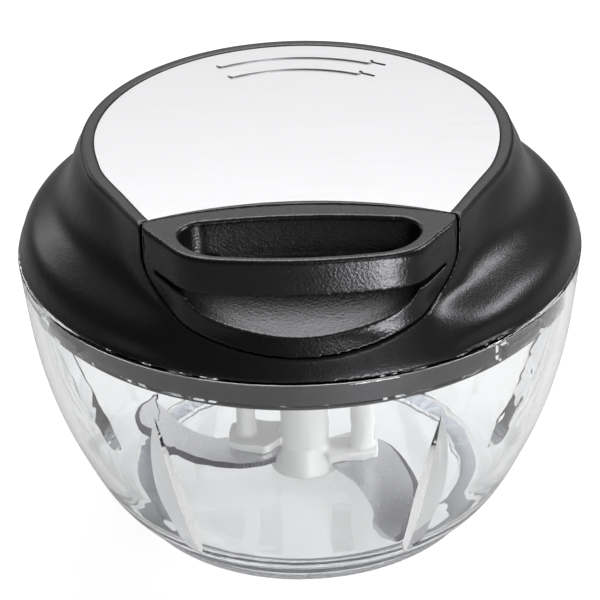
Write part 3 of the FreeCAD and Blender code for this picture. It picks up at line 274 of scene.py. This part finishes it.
def white_plastic():
    look = Look("white_plastic", (0.8, 0.8, 0.79), roughness=0.34)
    look.vary_colour(look.noise(12 * MM), darkest=0.96, lightest=1.02)
    look.vary_roughness(look.noise(3 * MM), low=0.28, high=0.42)
    look.bump(look.noise(1.2 * MM), depth=0.01 * MM)
    return look.material


def clear_plastic(name, colour, roughness, waviness):
    """Clear plastic; lamps shine through it, so that what stands behind it is lit."""
    look = Look(name, colour, roughness, Transmission_Weight=1.0, IOR=1.5)
    look.bump(look.noise(14 * MM, detail=1.0), depth=waviness)
    ray = look.node("LightPath")
    clear = look.node("BsdfTransparent", Color=(*[channel * WALL_SHADE for channel in colour], 1.0))
    mix = look.node("MixShader", Fac=ray.outputs["Is Shadow Ray"])
    feed(look.tree, mix.inputs[1], look.shader.outputs["BSDF"])
    feed(look.tree, mix.inputs[2], clear.outputs["BSDF"])
    feed(look.tree, look.tree.nodes["Material Output"].inputs["Surface"], mix.outputs["Shader"])
    return look.material


def soft_rubber(name, colour):
    look = Look(name, colour, roughness=0.6, Subsurface_Weight=0.15, Subsurface_Scale=1.0 * MM)
    look.vary_colour(look.noise(4 * MM), darkest=0.9, lightest=1.05)
    look.bump(look.noise(0.4 * MM), depth=0.02 * MM)
    return look.material


def coloured_plastic(name, colour, roughness):
    look = Look(name, colour, roughness)
    look.vary_colour(look.noise(8 * MM), darkest=0.9, lightest=1.08)
    look.bump(look.noise(0.7 * MM), depth=0.012 * MM)
    return look.material


def braided_cord():
    look = Look("cord", (0.6, 0.6, 0.58), roughness=0.75, Sheen_Weight=0.3)
    strands = look.node("TexWave", Vector=look.place(), Scale=BRAID_SCALE, Distortion=1.5)
    strands.bands_direction = "DIAGONAL"
    look.vary_colour(strands.outputs["Fac"], darkest=0.7, lightest=1.1)
    look.bump(strands.outputs["Fac"], depth=0.12 * MM)
    return look.material


MATERIALS = {
    "clear_bowl": clear_plastic("clear_bowl", (0.985, 0.99, 0.995), roughness=0.0, waviness=0.004 * MM),
    "soft_foot": clear_plastic("soft_foot", (0.9, 0.91, 0.93), roughness=0.25, waviness=0.02 * MM),
    "steel": plain_steel("steel", roughness=0.25),
    "seal": soft_rubber("seal", (0.75, 0.76, 0.78)),
    "black_lid": black_plastic("black_lid", shade=0.006, roughness=0.33, grain=0.03 * MM),
    "black_grip": black_plastic("black_grip", shade=0.006, roughness=0.27, grain=0.045 * MM),
    "black_inner": black_plastic("black_inner", shade=0.007, roughness=0.4, grain=0.01 * MM),
    "brushed_plate": brushed_plate(),
    "screws": plain_steel("screws", roughness=0.35),
    "bush": coloured_plastic("bush", (0.7, 0.69, 0.64), roughness=0.4),
    "reel_plastic": coloured_plastic("reel_plastic", (0.55, 0.56, 0.58), roughness=0.42),
    "spring_steel": plain_steel("spring_steel", roughness=0.3),
    "drive_plastic": coloured_plastic("drive_plastic", (0.75, 0.75, 0.74), roughness=0.38),
    "eyelet": plain_steel("eyelet", roughness=0.2),
    "cord": braided_cord(),
    "white_plastic": white_plastic(),
    "blade_steel": ground_steel(),
    "bevel_steel": bevel_steel(),
}


def dress_nodes():
    """Each CAD node gets the material of its slot."""
    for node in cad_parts.values():
        for index, material in enumerate(node.data.materials):
            node.data.materials[index] = MATERIALS[material.name.split(".")[0]]


# ---- meshes -----------------------------------------------------------------------------------
def new_object(name, data):
    """A new object in the scene."""
    obj = bpy.data.objects.new(name, data)
    bpy.context.collection.objects.link(obj)
    return obj


def new_piece(name, verts, faces, materials):
    """A new object with a mesh of its own."""
    mesh = bpy.data.meshes.new(name)
    mesh.from_pydata(verts, [], faces)
    for material in materials:
        mesh.materials.append(material)
    return new_object(name, mesh)


def add_row(verts, points):
    """Adds points to the vertices and gives their numbers."""
    verts.extend(points)
    return list(range(len(verts) - len(points), len(verts)))


def add_level(verts, outline, z):
    """Adds the points of a flat outline at height z and gives their numbers."""
    return add_row(verts, [(point.x, point.y, z) for point in outline])


def strip(lower, upper):
    """Quads between two rows of vertex numbers."""
    return [[lower[k], lower[k + 1], upper[k + 1], upper[k]] for k in range(len(lower) - 1)]


def welded(node):
    """A CAD node's mesh, as a BMesh whose faces share their vertices."""
    shape = bmesh.new()
    shape.from_mesh(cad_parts[node].data)
    bmesh.ops.remove_doubles(shape, verts=shape.verts, dist=WELD)
    return shape


def settle_modifiers(obj):
    """The modified mesh becomes the piece's own mesh."""
    evaluated = obj.evaluated_get(bpy.context.evaluated_depsgraph_get())
    mesh = bpy.data.meshes.new_from_object(evaluated)
    obj.modifiers.clear()
    obj.data = mesh
    for polygon in mesh.polygons:
        polygon.use_smooth = True


# ---- moulded parts ------------------------------------------------------------------------------
def keep_foot_sharp(obj, node, smooth, crisp, soft):
    """Keeps the lowest stretch of the piece on the CAD surface: all of it up to crisp, none from soft."""
    foot_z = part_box(node)[0][2]
    sharp = obj.vertex_groups.new(name="sharp")
    for vertex in obj.data.vertices:
        share = (foot_z + soft - vertex.co.z) / (soft - crisp)
        if share > 0.0:
            sharp.add([vertex.index], min(share, 1.0), "REPLACE")
    smooth.vertex_group = sharp.name
    smooth.invert_vertex_group = True
    wrap = obj.modifiers.new("Shrinkwrap", "SHRINKWRAP")
    wrap.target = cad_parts[node]
    wrap.vertex_group = sharp.name


def moulded(node, body, slot, voxel, rounds, crisp=0.0, soft=0.0):
    """A CAD node again with the soft edges of a moulding; with a soft band its foot stays sharp."""
    shape = welded(node)
    mesh = bpy.data.meshes.new("moulded_" + node)
    shape.to_mesh(mesh)
    shape.free()
    obj = new_object("moulded_" + node, mesh)
    remesh = obj.modifiers.new("Remesh", "REMESH")
    remesh.mode = "VOXEL"
    remesh.voxel_size = voxel
    settle_modifiers(obj)
    smooth = obj.modifiers.new("Smooth", "SMOOTH")
    smooth.factor = SMOOTHING
    smooth.iterations = rounds
    if soft:
        keep_foot_sharp(obj, node, smooth, crisp, soft)
    settle_modifiers(obj)
    obj.vertex_groups.clear()
    obj.data.materials.clear()
    obj.data.materials.append(MATERIALS[slot])
    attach(obj, body)
    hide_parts(node)


# ---- blades -------------------------------------------------------------------------------------
def top_outline(node):
    """The outline of a flat node's top face, counterclockwise."""
    shape = welded(node)
    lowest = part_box(node)[1][2] - FACE_TOLERANCE
    top = {face for face in shape.faces if all(vert.co.z > lowest for vert in face.verts)}
    follow = {}
    for face in top:
        for loop in face.loops:
            if any(other not in top for other in loop.edge.link_faces):
                follow[loop.vert] = loop.link_loop_next.vert
    vert = min(follow, key=lambda candidate: candidate.index)
    outline = []
    while vert in follow:
        outline.append(vert.co.xy.copy())
        vert = follow.pop(vert)
    shape.free()
    return outline


def steps(chain):
    """The lengths between the points of a chain."""
    return [(end - start).length for start, end in zip(chain, chain[1:])]


def corners(outline):
    """The numbers of the points where a closed outline turns sharply."""
    found = []
    for index, point in enumerate(outline):
        before = point - outline[index - 1]
        after = outline[(index + 1) % len(outline)] - point
        if abs(before.angle_signed(after)) > CORNER_TURN:
            found.append(index)
    return found


def split_at_longest_side(outline):
    """The longest stretch between two corners, and the points after it back to its start."""
    count = len(outline)
    starts = corners(outline)
    ends = starts[1:] + [starts[0] + count]
    twice = outline + outline       # so that a side can run past the first point
    sides = [(twice[start:end + 1], twice[end + 1:start + count]) for start, end in zip(starts, ends)]
    return max(sides, key=lambda side: sum(steps(side[0])))


def even_points(chain, pitch):
    """Points along a chain, about pitch apart."""
    lengths = steps(chain)
    count = round(sum(lengths) / pitch)
    step = sum(lengths) / count
    points = [chain[0].copy()]
    passed = 0.0
    for start, end, length in zip(chain, chain[1:], lengths):
        while len(points) < count and len(points) * step <= passed + length:
            points.append(start.lerp(end, (len(points) * step - passed) / length))
        passed += length
    return points + [chain[-1].copy()]


def inward(edge, rest, index):
    """The direction from a point of the edge into the blade; at its ends it follows the end of the blade."""
    if index == 0:
        across = rest[-1] - edge[0]
    elif index == len(edge) - 1:
        across = rest[0] - edge[-1]
    else:
        along = edge[index + 1] - edge[index - 1]
        across = Vector((-along.y, along.x))
    return across.normalized()


def bevel_width(share):
    """The width of the bevel after this share of the edge, counted from the heel."""
    return BEVEL_NARROW + (BEVEL_WIDE - BEVEL_NARROW) * min(share / BEVEL_GROWTH, 1.0)


def ground_blade(node):
    """A blade with a toothed, ground bevel along its longest side."""
    side, rest = split_at_longest_side(top_outline(node))
    edge = even_points(side, TOOTH_PITCH / 2.0)
    last = len(edge) - 1
    inner = []
    for index, point in enumerate(edge):
        inwards = inward(edge, rest, index)
        inner.append(point + inwards * bevel_width(1.0 - index / last))
        if index % 2 == 1 and index < last:
            edge[index] = point + inwards * TOOTH_DEPTH
    low_z, high_z = [corner[2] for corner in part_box(node)]
    verts = []
    top_rest = add_level(verts, rest, high_z)
    low_rest = add_level(verts, rest, low_z)
    top_inner = add_level(verts, inner, high_z)
    lip = add_level(verts, edge, low_z + EDGE_THICKNESS)
    low_edge = add_level(verts, edge, low_z)
    plain_faces = [top_inner + top_rest, (low_edge + low_rest)[::-1],
                   [top_rest[0], top_inner[-1], lip[-1], low_edge[-1], low_rest[0]],
                   [lip[0], top_inner[0], top_rest[-1], low_rest[-1], low_edge[0]]]
    plain_faces += strip(low_rest, top_rest)
    ground_faces = strip(lip, top_inner) + strip(low_edge, lip)
    # the ground faces get bevel_steel, whose dark colour is painted shade
    obj = new_piece("ground_" + node, verts, plain_faces + ground_faces,
                    (MATERIALS["blade_steel"], MATERIALS["bevel_steel"]))
    for polygon in obj.data.polygons[len(plain_faces):]:
        polygon.material_index = 1
    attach(obj, "blades")
    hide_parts(node)


# ---- cord ---------------------------------------------------------------------------------------
def stretching_cord():
    """The cord from the eyelet into the grip, a round tube as long as the CAD cord tail."""
    (left, front, low), (right, back, high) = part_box("cord_tail")
    middle_x = (left + right) / 2.0
    middle_z = (low + high) / 2.0
    radius = (high - low) / 2.0
    verts = []
    rings = []
    for ring in range(CORD_RINGS + 1):
        y = back + (front - back) * ring / CORD_RINGS
        points = []
        for side in range(CORD_SIDES):
            angle = math.tau * side / CORD_SIDES
            points.append((middle_x + radius * math.cos(angle), y, middle_z + radius * math.sin(angle)))
        rings.append(add_row(verts, points))
    faces = []
    for near, far in zip(rings, rings[1:]):
        faces += strip(near + near[:1], far + far[:1])
    faces += [rings[0][::-1], rings[-1]]
    obj = new_piece("stretching_cord", verts, faces, (MATERIALS["cord"],))
    for polygon in obj.data.polygons:
        polygon.use_smooth = len(polygon.vertices) == 4
    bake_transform(obj)
    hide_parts("cord_tail")


# ---- stage ------------------------------------------------------------------------------------
def lengthen_light_paths():
    """With the standard limits, clear plastic turns black where light is reflected often inside it."""
    cycles = bpy.context.scene.cycles
    cycles.max_bounces = ALL_BOUNCES
    cycles.transmission_bounces = ALL_BOUNCES
    cycles.glossy_bounces = GLOSSY_BOUNCES


def make_floor():
    look = Look("floor", (FLOOR_COLOUR,) * 3, roughness=0.9, Specular_IOR_Level=0.0)
    look.put("Emission Color", WHITE)
    look.put("Emission Strength", level_by_ray(look.tree, FLOOR_GLOW))
    corner_signs = ((-1, -1), (1, -1), (1, 1), (-1, 1))
    verts = [(x * FLOOR_HALF, y * FLOOR_HALF, 0.0) for x, y in corner_signs]
    new_piece("floor", verts, [(0, 1, 2, 3)], (look.material,))


def make_world():
    world = bpy.data.worlds.new("studio")
    bpy.context.scene.world = world
    world.use_nodes = True
    tree = world.node_tree
    background = tree.nodes["Background"]
    levels = {
        "Is Camera Ray": 1.0,
        "Is Diffuse Ray": WORLD_FILL,
        "Is Glossy Ray": dome(tree, REFLECTED_DOME, REFLECTED_LEAN),
        "Is Transmission Ray": dome(tree, REFRACTED_DOME),
    }
    feed(tree, background.inputs["Color"], WHITE)
    feed(tree, background.inputs["Strength"], level_by_ray(tree, levels))


def softbox(name, place, width, height, power, aim=LAMP_AIM):
    """A rectangular lamp; neither the camera nor clear plastic shows it."""
    lamp = bpy.data.lights.new(name, "AREA")
    lamp.shape = "RECTANGLE"
    lamp.size = width
    lamp.size_y = height
    lamp.energy = power
    obj = new_object(name, lamp)
    obj.location = place
    obj.rotation_mode = "QUATERNION"
    obj.rotation_quaternion = (Vector(aim) - Vector(place)).to_track_quat("-Z", "Y")
    obj.visible_camera = False
    obj.visible_transmission = False
    return obj


def make_lights():
    """Five soft boxes round the object, and a card near the floor for the gloss on the scoop's lip."""
    softbox("top_box", (0.0, 0.35, 0.7), width=0.6, height=0.34, power=4.6)
    softbox("back_box", (0.0, 0.75, 0.45), width=0.9, height=0.3, power=0.85)
    softbox("right_box", (0.68, 0.0, 0.45), width=0.3, height=0.2, power=3.0)
    softbox("front_box", (0.25, -0.62, 0.47), width=0.25, height=0.2, power=0.9)
    softbox("left_box", (-0.49, 0.455, 0.27), width=0.2, height=0.12, power=0.3)
    card = softbox("low_card", (0.085, -0.2, 0.03), width=0.06, height=0.05, power=0.22,
                   aim=(0.02, -0.06, 0.09))
    card.visible_diffuse = False


def make_camera():
    data = bpy.data.cameras.new("camera")
    data.lens = CAMERA_LENS
    data.sensor_width = CAMERA_SENSOR
    data.clip_start = CAMERA_CLIP
    camera = new_object("camera", data)
    elevation = math.radians(CAMERA_ELEVATION)
    back = Vector((0.0, -math.cos(elevation), math.sin(elevation)))
    camera.location = Vector(CAMERA_TARGET) + back * CAMERA_DISTANCE
    camera.rotation_mode = "QUATERNION"
    roll = Quaternion((0.0, 0.0, 1.0), math.radians(CAMERA_ROLL))
    camera.rotation_quaternion = (-back).to_track_quat("-Z", "Y") @ roll
    bpy.context.scene.camera = camera


# ---- scene ------------------------------------------------------------------------------------
bpy.context.scene.view_settings.view_transform = "Standard"
dress_nodes()
make_camera()
make_world()
make_floor()
make_lights()
lengthen_light_paths()
moulded("lid_housing", "lid", "black_lid", *LID_MESH, crisp=LID_CRISP_BAND, soft=LID_SOFT_BAND)
moulded("handle_grip", "grip", "black_grip", *GRIP_MESH)
moulded("blade_carrier", "blades", "white_plastic", *CARRIER_MESH)
ground_blade("long_blade")
ground_blade("short_blade")
stretching_cord()
